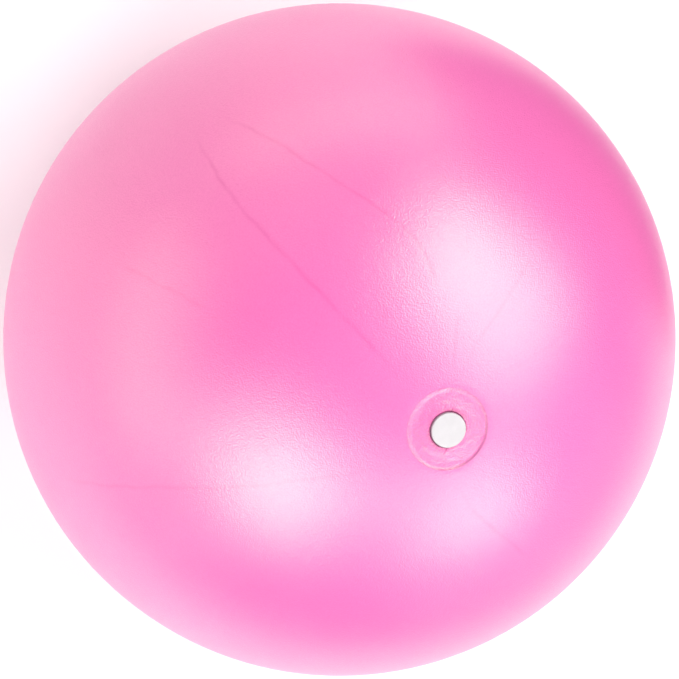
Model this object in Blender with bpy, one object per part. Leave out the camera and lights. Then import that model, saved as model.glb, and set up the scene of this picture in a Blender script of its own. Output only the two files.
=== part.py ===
# Mini exercise ball, inflated: a thin seamless vinyl skin, a thick moulded valve seat bonded into
# a hole in it, and a plug that pulls out of the seat.
# Metres, +Z up. The origin is the centre of the flat patch that the ball rests on. The valve is on
# top, on the Z axis, and every piece is turned about that axis.

import math

import bmesh
import bpy

# Ball skin
BALL_DIAMETER = 0.250
SKIN_WALL = 0.0006
REST_PATCH_RADIUS = 0.014       # a soft ball flattens this far out under its own weight

# Valve seat: a round flange let into the skin, with a sleeve that reaches into the ball
FLANGE_DIAMETER = 0.0275
FLANGE_THICKNESS = 0.0018
FLANGE_STANDS_PROUD = 0.0004    # height of the flange's face above the skin at its rim
FLANGE_EDGE_RADIUS = 0.0005
BORE_DIAMETER = 0.007
SLEEVE_WALL = 0.003
SLEEVE_LENGTH = 0.009
SLEEVE_CHAMFER = 0.0006
PLUG_RECESS_DEPTH = 0.0006      # shallow pocket in the flange's face that the plug's head sits in

# Plug: a flat round head on a stem with sealing ribs and a tapered nose
HEAD_DIAMETER = 0.0116
HEAD_THICKNESS = 0.0014
HEAD_EDGE_RADIUS = 0.0003
STEM_LENGTH = 0.012
STEM_RIB_DEPTH = 0.0004
STEM_RIB_WIDTH = 0.0010
STEM_RIB_COUNT = 3
NOSE_LENGTH = 0.003
NOSE_TAPER = 0.0010             # how much smaller the nose's radius is at its tip

# Fit and smoothness
FIT_GAP = 0.0003                # clearance between any two pieces that seat on or in each other
SEGMENTS = 64                   # round the ball
SMALL_SEGMENTS = 40             # round the seat and the plug
BALL_RINGS = 26                 # from the valve's recess down to the resting patch
EDGE_STEPS = 3                  # along a rounded edge
SHARP_ANGLE = math.radians(35)

# Places worked out from the sizes
BALL_RADIUS = BALL_DIAMETER / 2
BALL_CENTRE_Z = math.sqrt(BALL_RADIUS ** 2 - REST_PATCH_RADIUS ** 2)
FLANGE_RADIUS = FLANGE_DIAMETER / 2
BORE_RADIUS = BORE_DIAMETER / 2
SLEEVE_RADIUS = BORE_RADIUS + SLEEVE_WALL
HEAD_RADIUS = HEAD_DIAMETER / 2
FLANGE_FACE_Z = BALL_CENTRE_Z + math.sqrt(BALL_RADIUS ** 2 - FLANGE_RADIUS ** 2) + FLANGE_STANDS_PROUD
FLANGE_BACK_Z = FLANGE_FACE_Z - FLANGE_THICKNESS

SKIN_COLOUR = (0.90, 0.26, 0.56, 1.0)
SEAT_COLOUR = (0.88, 0.28, 0.58, 1.0)
PLUG_COLOUR = (0.86, 0.85, 0.85, 1.0)


def clear_scene():
    for scene_object in list(bpy.data.objects):
        bpy.data.objects.remove(scene_object, do_unlink=True)


def plain_material(name, colour, roughness):
    material = bpy.data.materials.new(name)
    material.use_nodes = True
    shader = material.node_tree.nodes["Principled BSDF"]
    shader.inputs["Base Color"].default_value = colour
    shader.inputs["Roughness"].default_value = roughness
    shader.inputs["Metallic"].default_value = 0.0
    return material


def arc(centre_r, centre_z, radius, start, end, steps):
    """Points (r, z) on a circle, from angle start to angle end, measured up from the r axis."""
    angles = [start + (end - start) * step / steps for step in range(steps + 1)]
    return [(centre_r + radius * math.cos(a), centre_z + radius * math.sin(a)) for a in angles]


def turned_piece(name, outline, closed, segments, material):
    """Spin an outline of (r, z) points once about the Z axis into one closed body.

    A closed outline makes a ring. An open one starts and ends on the axis.
    """
    mesh_builder = bmesh.new()
    corners = [mesh_builder.verts.new((r, 0.0, z)) for r, z in outline]
    for first, second in zip(corners, corners[1:]):
        mesh_builder.edges.new((first, second))
    if closed:
        mesh_builder.edges.new((corners[-1], corners[0]))
    bmesh.ops.spin(
        mesh_builder,
        geom=mesh_builder.verts[:] + mesh_builder.edges[:],
        cent=(0.0, 0.0, 0.0),
        axis=(0.0, 0.0, 1.0),
        angle=math.tau,
        steps=segments,
        use_merge=True,
    )
    bmesh.ops.remove_doubles(mesh_builder, verts=mesh_builder.verts[:], dist=0.000001)
    bmesh.ops.recalc_face_normals(mesh_builder, faces=mesh_builder.faces[:])
    mesh = bpy.data.meshes.new(name)
    mesh_builder.to_mesh(mesh)
    mesh_builder.free()
    mesh.materials.append(material)
    mesh.shade_smooth()
    mesh.set_sharp_from_angle(angle=SHARP_ANGLE)
    piece = bpy.data.objects.new(name, mesh)
    bpy.context.collection.objects.link(piece)
    return piece


def ball_arc(radius, edge_r, patch_z):
    """One face of the skin: from distance edge_r off the axis, down the sphere, to height patch_z."""
    top = math.acos(edge_r / radius)
    bottom = math.asin((patch_z - BALL_CENTRE_Z) / radius)
    return arc(0.0, BALL_CENTRE_Z, radius, top, bottom, BALL_RINGS)


def make_ball_skin():
    """A sphere with a flat patch at the bottom, and at the top a stepped recess round a hole.

    The flange lies in the recess and the sleeve passes through the hole.
    """
    recess_radius = FLANGE_RADIUS + FIT_GAP
    recess_z = FLANGE_BACK_Z - FIT_GAP
    hole_radius = SLEEVE_RADIUS + FIT_GAP
    outside = [(hole_radius, recess_z), (recess_radius, recess_z)]
    outside += ball_arc(BALL_RADIUS, recess_radius, 0.0)
    outside += [(0.0, 0.0)]
    inside = [(hole_radius, recess_z - SKIN_WALL), (recess_radius + SKIN_WALL, recess_z - SKIN_WALL)]
    inside += ball_arc(BALL_RADIUS - SKIN_WALL, recess_radius + SKIN_WALL, SKIN_WALL)
    inside += [(0.0, SKIN_WALL)]
    outline = inside[::-1] + outside
    material = plain_material("ball_vinyl", SKIN_COLOUR, 0.5)
    return turned_piece("ball_skin", outline, False, SEGMENTS, material)


def make_valve_seat():
    """A flange with a rounded rim and a pocket for the plug's head, on a sleeve with a bore."""
    pocket_radius = HEAD_RADIUS + FIT_GAP
    pocket_z = FLANGE_FACE_Z - PLUG_RECESS_DEPTH
    sleeve_end_z = FLANGE_BACK_Z - SLEEVE_LENGTH
    rim_r = FLANGE_RADIUS - FLANGE_EDGE_RADIUS
    rim_z = FLANGE_FACE_Z - FLANGE_EDGE_RADIUS
    outline = [(pocket_radius, FLANGE_FACE_Z)]
    outline += arc(rim_r, rim_z, FLANGE_EDGE_RADIUS, math.pi / 2, 0.0, EDGE_STEPS)
    outline += [
        (FLANGE_RADIUS, FLANGE_BACK_Z),
        (SLEEVE_RADIUS, FLANGE_BACK_Z),
        (SLEEVE_RADIUS, sleeve_end_z + SLEEVE_CHAMFER),
        (SLEEVE_RADIUS - SLEEVE_CHAMFER, sleeve_end_z),
        (BORE_RADIUS, sleeve_end_z),
        (BORE_RADIUS, pocket_z),
        (pocket_radius, pocket_z),
    ]
    material = plain_material("seat_vinyl", SEAT_COLOUR, 0.5)
    return turned_piece("valve_seat", outline, True, SMALL_SEGMENTS, material)


def stem_outline(top_z):
    """The stem below the head: ribs that face the bore, and a nose that narrows to a flat tip."""
    rib_radius = BORE_RADIUS - FIT_GAP
    core_radius = rib_radius - STEM_RIB_DEPTH
    nose_z = top_z - STEM_LENGTH + NOSE_LENGTH
    pitch = (top_z - nose_z) / STEM_RIB_COUNT
    outline = [(core_radius, top_z)]
    for rib in range(STEM_RIB_COUNT):
        middle_z = top_z - pitch * (rib + 0.5)
        outline += [
            (core_radius, middle_z + STEM_RIB_WIDTH),
            (rib_radius, middle_z + STEM_RIB_WIDTH / 2),
            (rib_radius, middle_z - STEM_RIB_WIDTH / 2),
            (core_radius, middle_z - STEM_RIB_WIDTH),
        ]
    outline += [(core_radius, nose_z), (core_radius - NOSE_TAPER, nose_z - NOSE_LENGTH)]
    return outline


def make_valve_plug():
    """A flat round head with a rounded edge, resting in the flange's pocket, on a ribbed stem."""
    head_back_z = FLANGE_FACE_Z - PLUG_RECESS_DEPTH + FIT_GAP
    head_top_z = head_back_z + HEAD_THICKNESS
    edge_r = HEAD_RADIUS - HEAD_EDGE_RADIUS
    edge_z = head_top_z - HEAD_EDGE_RADIUS
    outline = [(0.0, head_top_z)]
    outline += arc(edge_r, edge_z, HEAD_EDGE_RADIUS, math.pi / 2, 0.0, EDGE_STEPS)
    outline += [(HEAD_RADIUS, head_back_z)]
    outline += stem_outline(head_back_z)
    outline += [(0.0, head_back_z - STEM_LENGTH)]
    material = plain_material("plug_plastic", PLUG_COLOUR, 0.4)
    return turned_piece("valve_plug", outline, False, SMALL_SEGMENTS, material)


clear_scene()
make_ball_skin()
make_valve_seat()
make_valve_plug()
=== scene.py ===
import math

import bpy
import numpy as np
from mathutils import Matrix


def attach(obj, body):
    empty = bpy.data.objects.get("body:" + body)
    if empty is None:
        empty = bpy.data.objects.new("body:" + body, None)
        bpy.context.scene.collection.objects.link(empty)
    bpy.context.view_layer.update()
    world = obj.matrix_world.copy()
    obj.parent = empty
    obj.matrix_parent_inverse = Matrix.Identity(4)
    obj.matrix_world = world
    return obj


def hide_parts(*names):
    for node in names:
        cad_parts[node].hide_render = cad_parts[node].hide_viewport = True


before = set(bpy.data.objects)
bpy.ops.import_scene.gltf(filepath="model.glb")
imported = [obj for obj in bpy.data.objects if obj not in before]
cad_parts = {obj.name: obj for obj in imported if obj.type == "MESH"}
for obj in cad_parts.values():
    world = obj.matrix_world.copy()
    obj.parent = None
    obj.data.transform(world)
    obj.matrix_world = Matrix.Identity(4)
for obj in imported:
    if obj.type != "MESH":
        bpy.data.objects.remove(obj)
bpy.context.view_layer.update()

# Small soft exercise ball: creased vinyl skin, moulded valve seat, white plug.
# Metres, +Z up along the valve. Every radius and height that pieces share is read from the frame.

mm = 0.001


def nodePoints(name):
    # distance from the Z axis and height of every vertex of a CAD node
    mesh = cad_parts[name].data
    points = np.zeros(len(mesh.vertices) * 3)
    mesh.vertices.foreach_get("co", points)
    points = points.reshape(-1, 3)
    return np.hypot(points[:, 0], points[:, 1]), points[:, 2]


skinR, skinZ = nodePoints("ball_skin")
seatR, seatZ = nodePoints("valve_seat")
plugR, plugZ = nodePoints("valve_plug")

ballRadius = float(skinR.max())
patchRadius = float(skinR[skinZ < 1e-6].max())             # where the skin lies flat on the floor
centreZ = math.sqrt(ballRadius ** 2 - patchRadius ** 2)
holeRadius = float(skinR[skinZ > centreZ].min())
holeEdgeZ = skinZ[skinR < holeRadius + 1e-5]
recessZ = float(holeEdgeZ.max())
skinWall = float(recessZ - holeEdgeZ[holeEdgeZ > centreZ].min())

flangeRadius = float(seatR.max())
faceZ = float(seatZ.max())
flangeBackZ = float(seatZ[seatR > flangeRadius - 1e-5].min())
sleeveEndZ = float(seatZ.min())
boreRadius = float(seatR.min())
sleeveRadius = float(seatR[seatZ < flangeBackZ - mm].max())
pocketZ = float(seatZ[seatR < boreRadius + 1e-5].max())
pocketRadius = float(seatR[seatZ > faceZ - 1e-5].min())

headRadius = float(plugR.max())
headTopZ = float(plugZ.max())
headBackZ = float(plugZ[plugR > headRadius - 1e-5].min())
plugTipZ = float(plugZ.min())
print("frame: ball radius %.1f mm, flange %.2f, head %.2f" % (
    ballRadius / mm, flangeRadius / mm, headRadius / mm))


def smoothStep(t):
    t = np.clip(t, 0.0, 1.0)
    return t * t * (3 - 2 * t)


def skinHeight(r):
    # height of the skin's outer face at distance r from the axis: centre + sqrt(R^2 - r^2)
    return centreZ + math.sqrt(ballRadius ** 2 - r ** 2)


def bell(distance, width):
    return np.exp(-(distance / width) ** 2)


def gridMesh(name, x, y, z, loops, material, layers=None):
    # (x, y, z)[row, column]: columns run once round Z, counterclockwise from above, and rows run
    # down the outside. A row on the axis becomes one vertex. loops joins the last row to the first.
    rows, columns = x.shape
    points = np.stack([x, y, z], axis=-1).reshape(-1, 3)
    index = np.arange(rows * columns).reshape(rows, columns)
    onAxis = np.hypot(x, y).max(axis=1) < 1e-9
    index[onAxis] = index[onAxis][:, :1]
    upper = index if loops else index[:-1]
    lower = np.roll(index, -1, axis=0) if loops else index[1:]
    quads = np.stack([upper, lower, np.roll(lower, -1, axis=1), np.roll(upper, -1, axis=1)], axis=-1)
    quads = quads.reshape(-1, 4)
    used, packed = np.unique(quads, return_inverse=True)
    quads = packed.reshape(-1, 4)
    upperPole = quads[:, 0] == quads[:, 3]
    lowerPole = quads[:, 1] == quads[:, 2]
    faces = quads[~upperPole & ~lowerPole].tolist()
    faces += quads[upperPole & ~lowerPole][:, [0, 1, 2]].tolist()
    faces += quads[~upperPole & lowerPole][:, [0, 1, 3]].tolist()
    mesh = bpy.data.meshes.new(name)
    mesh.from_pydata(points[used].tolist(), [], faces)
    mesh.materials.append(material)
    mesh.shade_smooth()
    for key, values in (layers or {}).items():
        layer = mesh.attributes.new(key, "FLOAT", "POINT")
        layer.data.foreach_set("value", values.reshape(-1)[used].astype(np.float32))
    mesh.update()
    piece = bpy.data.objects.new(name, mesh)
    bpy.context.scene.collection.objects.link(piece)
    print("%s: %d vertices, %d faces" % (name, len(used), len(faces)))
    return piece


def arcPoints(centreR, centreHeight, radiusR, radiusZ, startDegrees, endDegrees, steps):
    # (r, z) = centre + (radiusR cos a, radiusZ sin a), a from start to end
    a = np.radians(np.linspace(startDegrees, endDegrees, steps))
    return np.stack([centreR + radiusR * np.cos(a), centreHeight + radiusZ * np.sin(a)], axis=1)


def linePoints(r0, z0, r1, z1, steps):
    t = np.linspace(0, 1, steps)[:, None]
    return np.array([[r0, z0]]) * (1 - t) + np.array([[r1, z1]]) * t


def joinProfile(*parts):
    # one list of (r, z) rows, without the doubles where two parts meet
    rows = np.concatenate(parts)
    step = np.hypot(*np.diff(rows, axis=0).T)
    return rows[np.concatenate([[True], step > 1e-7])]


def newMaterial(name):
    material = bpy.data.materials.new(name)
    material.use_nodes = True
    nodes = material.node_tree.nodes
    return material, nodes, material.node_tree.links, nodes["Principled BSDF"]


def noiseField(nodes, links, size, detail, roughness=0.5, centre=(0, 0, 0)):
    # soft noise whose features are about size metres across, centred on a point of the piece
    where = nodes.new("ShaderNodeTexCoord")
    shift = nodes.new("ShaderNodeMapping")
    shift.inputs["Location"].default_value = [-c for c in centre]
    noise = nodes.new("ShaderNodeTexNoise")
    noise.inputs["Scale"].default_value = 1 / size
    noise.inputs["Detail"].default_value = detail
    noise.inputs["Roughness"].default_value = roughness
    links.new(where.outputs["Object"], shift.inputs["Vector"])
    links.new(shift.outputs["Vector"], noise.inputs["Vector"])
    return noise.outputs["Fac"]


def mapRange(nodes, links, value, low, high, toLow, toHigh):
    ranged = nodes.new("ShaderNodeMapRange")
    ranged.inputs["From Min"].default_value = low
    ranged.inputs["From Max"].default_value = high
    ranged.inputs["To Min"].default_value = toLow
    ranged.inputs["To Max"].default_value = toHigh
    links.new(value, ranged.inputs["Value"])
    return ranged.outputs["Result"]


def mixColour(nodes, links, factor, first, second):
    mix = nodes.new("ShaderNodeMix")
    mix.data_type = "RGBA"
    links.new(factor, mix.inputs["Factor"])
    for socket, colour in (("A", first), ("B", second)):
        target = [s for s in mix.inputs if s.name == socket and s.type == "RGBA"][0]
        if isinstance(colour, tuple):
            target.default_value = (*colour, 1)
        else:
            links.new(colour, target)
    return [s for s in mix.outputs if s.type == "RGBA"][0]


def bumpFrom(nodes, links, height, strength, distance, normal=None):
    bump = nodes.new("ShaderNodeBump")
    bump.inputs["Strength"].default_value = strength
    bump.inputs["Distance"].default_value = distance
    links.new(height, bump.inputs["Height"])
    if normal is not None:
        links.new(normal, bump.inputs["Normal"])
    return bump.outputs["Normal"]


def attributeValue(nodes, name):
    reader = nodes.new("ShaderNodeAttribute")
    reader.attribute_name = name
    return reader.outputs["Fac"]


pinkVinyl = dict(
    colour=(0.80, 0.151, 0.425),          # body colour of the dyed vinyl
    paleColour=(0.81, 0.164, 0.440),      # where the dye is a little thinner
    shadeAndFleckColour=(0.70, 0.092, 0.345),    # painted shade along a fold, and the colour of the darker flecks
    roughness=0.315,
    roughnessSpread=0.02,
    ior=1.98,
    reflectionTint=(1.0, 1.0, 0.62),      # satin bloom of the filler in the vinyl
    grainSize=0.55 * mm,                  # fine moulded grain
    grainDepth=0.11 * mm,
    pebbleSize=2.2 * mm,                  # coarser unevenness under the grain
    pebbleStrength=0.4,
    fleckSize=0.6 * mm,
    fleckAmount=0.42,
    patchSize=45 * mm,                    # slow drift between the two body colours
)
# the seat is the same vinyl, moulded with a rougher face, with painted shade along its moat and in its
# nicks
seatVinyl = dict(
    pinkVinyl,
    shadeAndFleckColour=(0.40, 0.110, 0.27),
    pebbleStrength=2.0,
    fleckAmount=0.55,
)


def vinylMaterial(name, look, centre):
    material, nodes, links, shader = newMaterial(name)
    patches = noiseField(nodes, links, look["patchSize"], 2, 0.55, centre)
    flecks = noiseField(nodes, links, look["fleckSize"], 2, 0.6, centre)
    grain = noiseField(nodes, links, look["grainSize"], 1, 0.5, centre)
    pebbles = noiseField(nodes, links, look["pebbleSize"], 2, 0.5, centre)

    patchMix = mapRange(nodes, links, patches, 0.30, 0.70, 0.0, 1.0)
    colour = mixColour(nodes, links, patchMix, look["colour"], look["paleColour"])
    fleckMix = mapRange(nodes, links, flecks, 0.35, 0.75, 0.0, look["fleckAmount"])
    colour = mixColour(nodes, links, fleckMix, colour, look["shadeAndFleckColour"])
    # painted shade: the mesh's layer darkens the colour along the skin's folds and round the seat's moat
    # and nicks
    shadeMix = mapRange(nodes, links, attributeValue(nodes, "shadeTone"), 0.0, 1.0, 0.0, 1.0)
    colour = mixColour(nodes, links, shadeMix, colour, look["shadeAndFleckColour"])
    links.new(colour, shader.inputs["Base Color"])

    low = look["roughness"] - look["roughnessSpread"]
    high = look["roughness"] + look["roughnessSpread"]
    links.new(mapRange(nodes, links, flecks, 0.3, 0.7, low, high), shader.inputs["Roughness"])

    normal = bumpFrom(nodes, links, pebbles, look["pebbleStrength"], look["grainDepth"])
    normal = bumpFrom(nodes, links, grain, 1.0, look["grainDepth"], normal)
    links.new(normal, shader.inputs["Normal"])
    shader.inputs["IOR"].default_value = look["ior"]
    shader.inputs["Specular Tint"].default_value = (*look["reflectionTint"], 1)
    return material


# A crease is a fold mark that runs out from the valve. Its path is a curve through places given as
# (polar angle from the valve's axis, azimuth about it), in degrees.
# each crease's last entry is how much painted shade darkens its fold
ballSkin = dict(
    creases=[
        dict(path=[(9, 131), (30, 131), (46, 130.6), (54, 129), (64, 126.5)], depth=0.040 * mm, creaseShade=0.9),
        dict(path=[(18, 91.5), (28, 94.5), (33, 103), (43, 112.5), (62, 122)], depth=0.035 * mm, creaseShade=0.9),
        dict(path=[(9, 86), (17, 83)], depth=0.045 * mm, creaseShade=0.5),
        dict(path=[(9, 76), (12, 70.5), (19, 61.5), (30, 56)], depth=0.030 * mm, creaseShade=0.5),
        dict(path=[(9, 42), (19, 32), (28, 30)], depth=0.012 * mm, creaseShade=0.2),
        dict(path=[(9, -78), (11, -75), (21, -61), (30, -56)], depth=0.040 * mm, creaseShade=0.6),
        dict(path=[(8, -150), (20, -161), (44, -165), (70, -165)], depth=0.025 * mm, creaseShade=0.6),
        dict(path=[(38, 152), (58, 153)], depth=0.020 * mm, creaseShade=0.7),
    ],
    creaseWander=0.25,                                 # degrees that a fold wanders about its path
    creaseBend=4,                                      # degrees over which a path's corner rounds off
    creaseWidth=0.70 * mm,
    creaseShoulder=0.35,                               # height of a fold's raised sides, to its depth
    clusterSides=(0.25, 0.5, 0.8, 1.15, 1.6, 2.2),     # column places beside a crease, mm
    clusterShare=0.45,                                 # of the gap between creases, at most
    leastSine=0.11,                                    # keeps the columns apart near the poles
    columnStep=2.4,                                    # degrees between the other columns
    polarStep=1.2,                                     # degrees between rows
    crowding=(0.25, 12),                               # rows lie closer by the valve: how much, degrees
    innerStride=3,                                     # the inside keeps every third row
    ripple=0.10 * mm,                                  # slow unevenness of the inflated skin
    lip=0.14 * mm,                                     # rounding where the skin dips to the seat
    seam=0.02 * mm,                                    # between the skin and the flange's body
    floorSoftness=0.25 * mm,
)


def creaseAzimuth(crease, polar):
    # azimuth(polar): straight runs between the path's places, each point averaged over the few
    # degrees about it so that the corners round off, plus a small sum of sines
    places = np.array(crease["path"], dtype=float)
    within = np.clip(polar, places[0, 0], places[-1, 0])
    about = within[:, None] + np.linspace(-ballSkin["creaseBend"], ballSkin["creaseBend"], 17)
    line = np.interp(about, places[:, 0], places[:, 1]).mean(axis=1)
    wander = 0.6 * np.sin(0.9 * within + places[0, 1]) + 0.4 * np.sin(2.3 * within + places[-1, 1])
    return line + ballSkin["creaseWander"] * wander


def creaseStrength(crease, polar):
    # 1 along the fold, fading in and out over the ends, and waxing and waning on the way
    start, end = crease["path"][0][0], crease["path"][-1][0]
    fade = max(2.0, 0.18 * (end - start))
    ends = smoothStep((polar - start) / fade) * smoothStep((end - polar) / fade)
    waves = 0.15 * np.cos(0.55 * polar + start) + 0.15 * np.cos(1.7 * polar + end)
    return ends * (0.75 + waves) * (0.6 + 0.4 * (polar - start) / (end - start))


def skinColumns(polar, spec):
    # azimuth[row, column] in degrees. Beside each crease, columns keep fixed distances in metres
    # from it, and elsewhere they share out the gap, so a fold always runs along the grid.
    creases = sorted(spec["creases"], key=lambda c: c["path"][-1][1])
    centre = np.stack([creaseAzimuth(c, polar) for c in creases], axis=1)
    gap = np.diff(np.concatenate([centre, centre[:, :1] + 360], axis=1), axis=1)
    sine = np.maximum(np.sin(np.radians(polar)), spec["leastSine"])
    perDegree = ballRadius * sine[:, None] * math.pi / 180
    sides = np.array(spec["clusterSides"]) * mm
    room = np.minimum(gap, np.roll(gap, 1, axis=1)) * perDegree
    squeeze = np.minimum(1, spec["clusterShare"] * room / sides[-1])
    blocks = []
    for k in range(len(creases)):
        reach = squeeze[:, k:k + 1] * sides / perDegree
        cluster = np.concatenate([-reach[:, ::-1], 0 * reach[:, :1], reach], axis=1)
        blocks.append(centre[:, k:k + 1] + cluster)
        after = (k + 1) % len(creases)
        start = centre[:, k] + reach[:, -1]
        end = centre[:, k] + gap[:, k] - squeeze[:, after] * sides[-1] / perDegree[:, 0]
        count = max(1, int(round(float(gap[:, k].mean()) / spec["columnStep"])))
        share = np.arange(1, count) / count
        blocks.append(start[:, None] + (end - start)[:, None] * share)
    return np.concatenate(blocks, axis=1)


def makeBallSkin(material):
    # Outside: radius(polar, azimuth) = R + ripple + sum of crease grooves, and height
    # (z + sqrt(z^2 + k^2)) / 2, which flattens it softly onto the floor. Inside: that less the wall.
    spec = ballSkin
    recessRadius = flangeRadius - valveSeat["feather"] + spec["seam"]
    lip = spec["lip"]
    startPolar = math.degrees(math.asin((recessRadius + lip) / ballRadius))
    polar = np.linspace(startPolar, 180, int((180 - startPolar) / spec["polarStep"]))
    amount, reach = spec["crowding"]
    polar = polar - (polar - startPolar) * amount * np.exp(-(polar - startPolar) / reach)
    azimuth = np.radians(skinColumns(polar, spec))
    tilt = np.radians(polar)[:, None]

    groove = np.zeros_like(azimuth)
    creaseShade = np.zeros_like(azimuth)
    for crease in spec["creases"]:
        line = np.radians(creaseAzimuth(crease, polar))[:, None]
        turn = (azimuth - line + math.pi) % math.tau - math.pi
        side = np.abs(turn) * ballRadius * np.sin(tilt)
        strength = creaseStrength(crease, polar)[:, None]
        width = spec["creaseWidth"]
        fold = bell(side, width) - spec["creaseShoulder"] * bell(side - 2 * width, width)
        groove += crease["depth"] * strength * fold
        # painted shade along the fold, handed to the material in the mesh's layer
        creaseShade += strength * bell(side, width) * crease["creaseShade"]

    ripple = spec["ripple"] * np.sin(tilt) ** 2 * (
        0.5 * np.sin(3 * azimuth + 4 * tilt) + 0.3 * np.sin(5 * azimuth - 7 * tilt + 1.0)
        + 0.2 * np.cos(2 * azimuth + 9 * tilt))
    radius = ballRadius + ripple - spec["ripple"] * np.sin(tilt) ** 2 - groove
    soft = spec["floorSoftness"]

    def settle(height):
        return 0.5 * (height + np.sqrt(height ** 2 + soft ** 2))

    outerR = radius * np.sin(tilt)
    outerZ = settle(centreZ + radius * np.cos(tilt))
    outerR[-1] = 0.0
    innerRadius = radius - skinWall
    innerR = innerRadius * np.sin(tilt)
    innerZ = settle(centreZ + innerRadius * np.cos(tilt) - skinWall) + skinWall
    innerR[-1] = 0.0

    # the rim of the recess: hole edge, floor, wall, then a rounded lip up to the sphere
    lipTopZ = outerZ[0].mean()
    rim = joinProfile(
        linePoints(holeRadius, recessZ, recessRadius, recessZ, 5),
        linePoints(recessRadius, recessZ, recessRadius, lipTopZ - lip, 4),
        arcPoints(recessRadius + lip, lipTopZ - lip, lip, lip, 180, 96, 7))
    rimR = np.repeat(rim[:, :1], azimuth.shape[1], axis=1)
    rimZ = np.repeat(rim[:, 1:], azimuth.shape[1], axis=1)
    back = linePoints(recessRadius + skinWall, recessZ - skinWall, holeRadius, recessZ - skinWall, 4)
    backR = np.repeat(back[:, :1], azimuth.shape[1], axis=1)
    backZ = np.repeat(back[:, 1:], azimuth.shape[1], axis=1)

    keep = np.arange(len(polar))[::-spec["innerStride"]]
    keep = keep[innerR[keep].mean(axis=1) > recessRadius + skinWall]
    keep = np.concatenate([[len(polar) - 1], keep[keep < len(polar) - 1]])
    allR = np.concatenate([rimR, outerR, innerR[keep], backR])
    allZ = np.concatenate([rimZ, outerZ, innerZ[keep], backZ])
    rimAzimuth = np.repeat(azimuth[:1], len(rim), axis=0)
    backAzimuth = np.repeat(azimuth[:1], len(back), axis=0)
    allAzimuth = np.concatenate([rimAzimuth, azimuth, azimuth[keep], backAzimuth])
    allShade = np.concatenate([0 * rimR, creaseShade, 0 * innerR[keep], 0 * backR])
    return gridMesh("ballSkin", allR * np.cos(allAzimuth), allR * np.sin(allAzimuth), allZ,
                    True, material, {"shadeTone": allShade})


valveSeat = dict(
    columns=360,
    faceRows=70,
    feather=0.15 * mm,              # the flange's edge lies this far over the skin
    featherLift=0.01 * mm,          # and this far above it
    rimStep=0.07 * mm,              # height of the rim over the skin beside it
    rimRound=0.05 * mm,
    moatDepth=0.28 * mm,            # the face sinks this far below the rim
    moatWidth=1.50 * mm,            # from the rim to the moat's bottom, on average
    moatWidthSwing=0.60 * mm,       # wider or narrower by this much round the axis
    moatTurn=138,                   # azimuth where the moat's outer slope is widest
    lipDrop=0.12 * mm,              # the pocket's lip lies this far under the flange's nominal face
    wobble=0.035 * mm,              # unevenness of the moulded face
    wobbleFade=0.8 * mm,            # and where it dies out by the lip and the rim
    paintedShade=0.40,                     # painted shade along the moat's outer slope, on average
    paintedShadeSwing=0.34,                # less on the side of moatTurn, more across from it
    paintedShadeInset=0.35 * mm,
    paintedShadeWidth=0.40 * mm,
    # painted shade in the nicks
    notchShade=0.6,
    pocketRound=0.10 * mm,
    sleeveRound=0.6 * mm,
    notches=[                       # nicks in the face beside the plug, from one (x, y) to another
        dict(start=(-0.2 * mm, -6.1 * mm), end=(-1.4 * mm, -8.2 * mm), depth=0.30 * mm, width=0.20 * mm),
        dict(start=(1.15 * mm, 6.1 * mm), end=(1.30 * mm, 6.6 * mm), depth=0.30 * mm, width=0.30 * mm),
    ],
)


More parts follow.
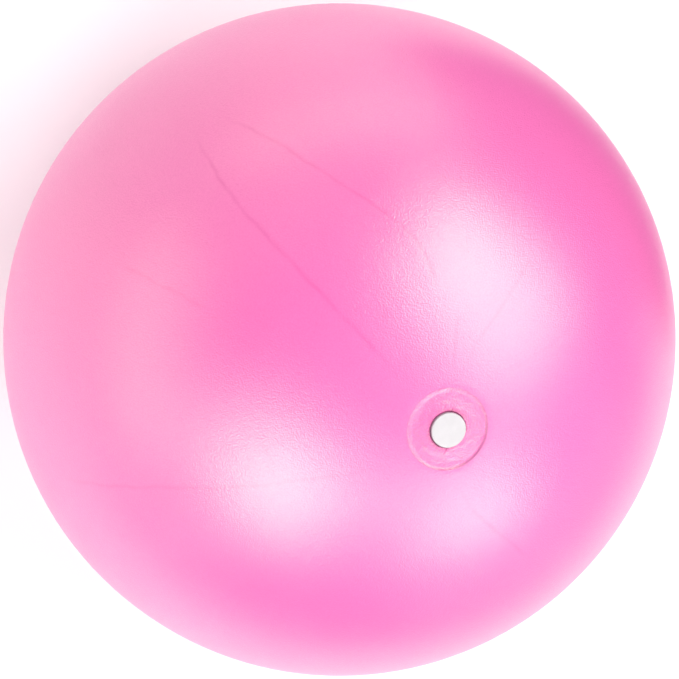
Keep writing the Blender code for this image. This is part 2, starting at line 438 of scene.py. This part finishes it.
def makeValveSeat(material):
    # A profile (r, z) turned about Z: pocket lip, face, rim, feather edge, back, sleeve and bore.
    # The face falls as a cosine from the lip to a moat whose place turns with the azimuth, and
    # rises as a smooth step to the rim, plus a sum of sines, less the notches, which are bells in
    # the distance from a line.
    spec = valveSeat
    rim = spec["rimRound"]
    lip = spec["pocketRound"]
    lipZ = faceZ - spec["lipDrop"]
    rimTopZ = skinHeight(flangeRadius) + spec["rimStep"]
    bodyRadius = flangeRadius - spec["feather"]
    lift = spec["featherLift"]
    rows = spec["faceRows"]
    endRound = spec["sleeveRound"]
    faceStart, faceEnd = pocketRadius + lip, flangeRadius - rim
    profile = joinProfile(
        linePoints(faceStart, lipZ, faceEnd, rimTopZ, rows),
        arcPoints(flangeRadius - rim, rimTopZ - rim, rim, rim, 75, 0, 5),
        linePoints(flangeRadius, skinHeight(flangeRadius) + lift,
                   bodyRadius, skinHeight(bodyRadius) + lift, 3),
        linePoints(bodyRadius, skinHeight(bodyRadius) + lift, bodyRadius, flangeBackZ, 5),
        linePoints(bodyRadius, flangeBackZ, sleeveRadius, flangeBackZ, 4),
        linePoints(sleeveRadius, flangeBackZ, sleeveRadius, sleeveEndZ + endRound, 8),
        arcPoints(sleeveRadius - endRound, sleeveEndZ + endRound, endRound, endRound, 0, -90, 6),
        linePoints(sleeveRadius - endRound, sleeveEndZ, boreRadius, sleeveEndZ, 3),
        linePoints(boreRadius, sleeveEndZ, boreRadius, pocketZ, 10),
        linePoints(boreRadius, pocketZ, pocketRadius, pocketZ, 5),
        linePoints(pocketRadius, pocketZ, pocketRadius, lipZ - lip, 3),
        arcPoints(pocketRadius + lip, lipZ - lip, lip, lip, 180, 90, 5)[:-1])
    azimuth = np.linspace(0, math.tau, spec["columns"], endpoint=False)[None, :]
    r = np.repeat(profile[:, :1], spec["columns"], axis=1)
    z = np.repeat(profile[:, 1:], spec["columns"], axis=1)
    x, y = r * np.cos(azimuth), r * np.sin(azimuth)

    swing = np.cos(azimuth - math.radians(spec["moatTurn"]))
    width = spec["moatWidth"] + spec["moatWidthSwing"] * swing
    bottomZ = rimTopZ - spec["moatDepth"]
    inner = np.clip((r - faceStart) / (faceEnd - width - faceStart), 0, 1)
    outer = smoothStep((r - faceEnd + width) / width)
    faceHeight = bottomZ + (lipZ - bottomZ) * (0.5 + 0.5 * np.cos(math.pi * inner))
    faceHeight += spec["moatDepth"] * outer
    onFace = np.zeros_like(r)
    onFace[:rows] = smoothStep(np.minimum(r - faceStart, faceEnd - r)[:rows] / spec["wobbleFade"])
    faceHeight += spec["wobble"] * onFace * (
        np.sin(5 * azimuth + 2200 * r) * 0.5 + np.sin(9 * azimuth - 3100 * r + 1.0) * 0.3
        + np.sin(2 * azimuth + 1300 * r + 2.0) * 0.4)
    # painted shade along the moat's outer slope, lighter on the moatTurn side, and in the nicks below
    paintedShade = spec["paintedShade"] - spec["paintedShadeSwing"] * swing
    paintedShade = paintedShade * bell(r - faceEnd + spec["paintedShadeInset"], spec["paintedShadeWidth"])
    for notch in spec["notches"]:
        start, end = np.array(notch["start"]), np.array(notch["end"])
        run = end - start
        along = np.clip(((x - start[0]) * run[0] + (y - start[1]) * run[1]) / run.dot(run), 0, 1)
        away = np.hypot(x - start[0] - along * run[0], y - start[1] - along * run[1])
        nick = (1 - 0.7 * along) * bell(away, notch["width"])
        faceHeight -= notch["depth"] * nick
        paintedShade += spec["notchShade"] * nick
    z[:rows] = faceHeight[:rows]
    return gridMesh("valveSeat", x, y, z, True, material, {"shadeTone": paintedShade})


valvePlug = dict(
    columns=128,
    crown=0.10 * mm,                # the head is very slightly domed
    edgeRound=0.30 * mm,
    backRound=0.15 * mm,            # under the head
    ribs=3,
    ribHeight=0.4 * mm,
    stemRound=0.5 * mm,
    noseLength=3.0 * mm,
    noseTaper=1.0 * mm,
    gateRadius=0.7 * mm,            # the moulding gate's mark in the nose's end
    gateDepth=0.2 * mm,
    colour=(0.545, 0.520, 0.535),
    cloudShade=0.94,                # the cloudy parts are this much darker
    cloudSize=3 * mm,
    scuffSize=0.5 * mm,
    scuffDepth=0.01 * mm,
    rimShadeColour=(0.24, 0.15, 0.20),   # painted shade along the head's edge, where it sits over the seat
    rimShade=0.55,
    rimShadeWidth=0.16 * mm,
    rimShadeStart=0.2 * mm,              # above the head's back
    smoothest=0.32,                 # roughness, from here to there with the scuffs
    roughest=0.46,
)


def plugMaterial(look):
    material, nodes, links, shader = newMaterial("whitePolyethylene")
    cloud = noiseField(nodes, links, look["cloudSize"], 3, 0.6, (0, 0, faceZ))
    scuffs = noiseField(nodes, links, look["scuffSize"], 4, 0.7, (0, 0, faceZ))
    cloudColour = tuple(look["cloudShade"] * c for c in look["colour"])
    mix = mapRange(nodes, links, cloud, 0.3, 0.7, 0.0, 1.0)
    colour = mixColour(nodes, links, mix, look["colour"], cloudColour)
    # painted shade along the head's edge
    paintedShade = attributeValue(nodes, "rimShadeTone")
    links.new(mixColour(nodes, links, paintedShade, colour, look["rimShadeColour"]), shader.inputs["Base Color"])
    rough = mapRange(nodes, links, scuffs, 0.3, 0.7, look["smoothest"], look["roughest"])
    links.new(rough, shader.inputs["Roughness"])
    links.new(bumpFrom(nodes, links, scuffs, 0.6, look["scuffDepth"]), shader.inputs["Normal"])
    return material


def makeValvePlug(material):
    # A profile (r, z) turned about Z: domed head, rounded edge, stem with raised-cosine ribs,
    # tapered nose and a dimple in its end.
    spec = valvePlug
    edge = spec["edgeRound"]
    topR = np.linspace(0, headRadius - edge, 16)
    topZ = headTopZ - spec["crown"] * (topR / headRadius) ** 2
    edgeZ = topZ[-1] - edge
    core = float(plugR[plugZ < headBackZ - 1e-5].max()) - spec["ribHeight"]
    noseZ = plugTipZ + spec["noseLength"]
    stemZ = np.linspace(headBackZ, noseZ, 60)
    pitch = (headBackZ - noseZ) / spec["ribs"]
    swell = 0.5 - 0.5 * np.cos(math.tau * (headBackZ - stemZ) / pitch)
    stemR = core + spec["ribHeight"] * swell ** 2
    tipR = core - spec["noseTaper"]
    tipRound = spec["stemRound"]
    gate = spec["gateRadius"]
    gateR = np.linspace(tipR - tipRound, 0, 10)
    gateZ = plugTipZ + spec["gateDepth"] * smoothStep((gate - gateR) / (0.5 * gate) + 0.5)
    backRound = spec["backRound"]
    profile = joinProfile(
        np.stack([topR, topZ], axis=1),
        arcPoints(headRadius - edge, edgeZ, edge, edge, 90, 0, 8),
        arcPoints(headRadius - backRound, headBackZ + backRound, backRound, backRound, 0, -90, 4),
        linePoints(headRadius - backRound, headBackZ, core, headBackZ, 5),
        np.stack([stemR, stemZ], axis=1),
        linePoints(core, noseZ, tipR, plugTipZ + tipRound, 8),
        arcPoints(tipR - tipRound, plugTipZ + tipRound, tipRound, tipRound, 0, -90, 6),
        np.stack([gateR, gateZ], axis=1))
    azimuth = np.linspace(0, math.tau, spec["columns"], endpoint=False)[None, :]
    r = np.repeat(profile[:, :1], spec["columns"], axis=1)
    z = np.repeat(profile[:, 1:], spec["columns"], axis=1)
    # painted shade: a band round the head's edge, starting just above the head's back
    onHead = smoothStep((z - headBackZ) / spec["rimShadeStart"])
    paintedShade = spec["rimShade"] * onHead * bell(headRadius - r, spec["rimShadeWidth"])
    return gridMesh("valvePlug", r * np.cos(azimuth), r * np.sin(azimuth), z, False, material,
                    {"rimShadeTone": paintedShade})


studio = dict(
    floor=dict(radius=0.95, sides=96, colour=(0.86, 0.86, 0.86), roughness=0.7, specular=0.2),
    ambient=0.0,
    backdrop=(1.0, 1.0, 1.0),
    boxDistance=1.0,
    # azimuth and elevation from the ball's centre, degrees; width and height, metres; watts
    softBoxes=[
        dict(name="keyBox", azimuth=36, elevation=54, size=(0.92, 0.52), power=7.0),
        dict(name="keyTop", azimuth=30, elevation=68, size=(0.45, 0.25), power=0.5),
        dict(name="keySide", azimuth=60, elevation=47, size=(0.42, 0.50), power=1.2),
        dict(name="keySkirt", azimuth=40, elevation=35, size=(0.98, 0.26), power=2.9),
        dict(name="keyEdge", azimuth=346, elevation=50, size=(0.40, 0.40), power=0.4),
        dict(name="fillBox", azimuth=223, elevation=43, size=(0.92, 0.54), power=4.2),
        dict(name="fillTop", azimuth=228, elevation=58, size=(0.60, 0.25), power=1.1),
        dict(name="fillCore", azimuth=225, elevation=42, size=(0.46, 0.42), power=2.6),
        dict(name="sideBox", azimuth=297, elevation=43, size=(0.70, 0.54), power=2.4),
        dict(name="sideTop", azimuth=285, elevation=58, size=(0.50, 0.25), power=0.45),
        dict(name="sideCore", azimuth=305, elevation=38, size=(0.45, 0.40), power=2.0),
        dict(name="cardRight", azimuth=92, elevation=13.5, size=(1.12, 0.52), power=0.8),
        dict(name="cardBack", azimuth=173, elevation=13.5, size=(1.12, 0.52), power=3.0),
        dict(name="cardLeft", azimuth=208, elevation=13.5, size=(1.12, 0.52), power=1.15),
        dict(name="apronRight", azimuth=92, elevation=4, size=(1.12, 0.20), power=2.0),
        dict(name="apronBack", azimuth=150, elevation=4, size=(1.12, 0.20), power=0.9),
        dict(name="apronLeft", azimuth=208, elevation=4, size=(1.12, 0.20), power=0.4),
        dict(name="topBack", azimuth=120, elevation=32, size=(0.60, 0.30), power=0.4),
        dict(name="apronFront", azimuth=315, elevation=8, size=(1.20, 0.26), power=0.75),
    ],
    # a dark card out of the camera's sight that takes the floor's glare off one side
    flag=dict(azimuth=33, near=0.25, far=0.62, height=0.21, width=0.48,
              colour=(0.03, 0.03, 0.03), roughness=1.0, specular=0.5),
    # the camera looks down at the valve: tilt off the valve's axis and the side it stands on
    cameraTilt=21.1,
    cameraAzimuth=138.3,
    cameraDistance=6.0,                # in ball radii
    fill=0.9918,                       # the ball's width as a share of the view's
    sensor=36.0,
)


def aimed(direction, up):
    # a rotation whose +Z points along direction and whose +Y leans towards up
    back = np.array(direction) / np.linalg.norm(direction)
    right = np.cross(up, back)
    right = right / np.linalg.norm(right)
    return right, np.cross(back, right), back


def place(thing, location, axes):
    right, above, back = axes
    thing.matrix_world = Matrix([
        [right[i], above[i], back[i], location[i]] for i in range(3)] + [[0, 0, 0, 1]])


def unitVector(azimuth, elevation):
    a, e = math.radians(azimuth), math.radians(elevation)
    return np.array([math.cos(e) * math.cos(a), math.cos(e) * math.sin(a), math.sin(e)])


def flatPiece(name, materialName, corners, look):
    # one flat face in a plain finish
    material, _, _, shader = newMaterial(materialName)
    shader.inputs["Base Color"].default_value = (*look["colour"], 1)
    shader.inputs["Roughness"].default_value = look["roughness"]
    shader.inputs["Specular IOR Level"].default_value = look["specular"]
    mesh = bpy.data.meshes.new(name)
    mesh.from_pydata([tuple(c) for c in corners], [], [tuple(range(len(corners)))])
    mesh.materials.append(material)
    piece = bpy.data.objects.new(name, mesh)
    bpy.context.scene.collection.objects.link(piece)
    return piece


def makeFloor(spec):
    around = np.linspace(0, math.tau, spec["sides"], endpoint=False)
    corners = spec["radius"] * np.stack([np.cos(around), np.sin(around), 0 * around], axis=1)
    return flatPiece("floor", "paleFloor", corners, spec)


def makeFlag(spec):
    outward = unitVector(spec["azimuth"], 0)
    sideways = spec["width"] / 2 * unitVector(spec["azimuth"] + 90, 0)
    nearEdge = spec["near"] * outward + np.array([0, 0, mm])
    farEdge = spec["far"] * outward + np.array([0, 0, spec["height"]])
    corners = [nearEdge - sideways, farEdge - sideways, farEdge + sideways, nearEdge + sideways]
    flag = flatPiece("flag", "flagCloth", corners, spec)
    flag.visible_camera = False
    flag.visible_shadow = False
    return flag


def makeWorld(spec):
    # the camera sees the backdrop, and everything else sees the ambient light
    world = bpy.data.worlds.new("studioWorld")
    bpy.context.scene.world = world
    world.use_nodes = True
    nodes, links = world.node_tree.nodes, world.node_tree.links
    ambient = nodes["Background"]
    ambient.inputs["Color"].default_value = (1, 1, 1, 1)
    ambient.inputs["Strength"].default_value = spec["ambient"]
    seen = nodes.new("ShaderNodeBackground")
    seen.inputs["Color"].default_value = (*spec["backdrop"], 1)
    choose = nodes.new("ShaderNodeMixShader")
    rays = nodes.new("ShaderNodeLightPath")
    links.new(rays.outputs["Is Camera Ray"], choose.inputs["Fac"])
    links.new(ambient.outputs[0], choose.inputs[1])
    links.new(seen.outputs[0], choose.inputs[2])
    links.new(choose.outputs[0], nodes["World Output"].inputs["Surface"])


def makeSoftBoxes(spec, middle):
    for box in spec["softBoxes"]:
        light = bpy.data.lights.new(box["name"], "AREA")
        light.shape = "RECTANGLE"
        light.size, light.size_y = box["size"]
        light.energy = box["power"]
        lamp = bpy.data.objects.new(box["name"], light)
        bpy.context.scene.collection.objects.link(lamp)
        outward = unitVector(box["azimuth"], box["elevation"])
        place(lamp, middle + spec["boxDistance"] * outward, aimed(outward, (0, 0, 1)))
        lamp.visible_camera = False


def makeCamera(spec, middle):
    camera = bpy.data.cameras.new("camera")
    eye = bpy.data.objects.new("camera", camera)
    bpy.context.scene.collection.objects.link(eye)
    outward = unitVector(spec["cameraAzimuth"], 90 - spec["cameraTilt"])
    place(eye, middle + spec["cameraDistance"] * ballRadius * outward, aimed(outward, (0, 1, 0)))
    camera.sensor_width = spec["sensor"]
    halfAngle = math.asin(1 / spec["cameraDistance"])
    camera.lens = spec["fill"] * spec["sensor"] / 2 / math.tan(halfAngle)
    bpy.context.scene.camera = eye


def makeStudio(spec):
    floor = makeFloor(spec["floor"])
    flag = makeFlag(spec["flag"])
    ballMiddle = np.array([0, 0, centreZ])
    makeWorld(spec)
    makeSoftBoxes(spec, ballMiddle)
    makeCamera(spec, ballMiddle)
    bpy.context.scene.view_settings.view_transform = "Standard"


skinPiece = makeBallSkin(vinylMaterial("skinVinyl", pinkVinyl, (0, 0, centreZ)))
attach(skinPiece, "ball")
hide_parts("ball_skin")

seatPiece = makeValveSeat(vinylMaterial("seatVinyl", seatVinyl, (0, 0, faceZ)))
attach(seatPiece, "ball")
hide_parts("valve_seat")

plugPiece = makeValvePlug(plugMaterial(valvePlug))
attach(plugPiece, "plug")
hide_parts("valve_plug")

makeStudio(studio)
print("studio ready")
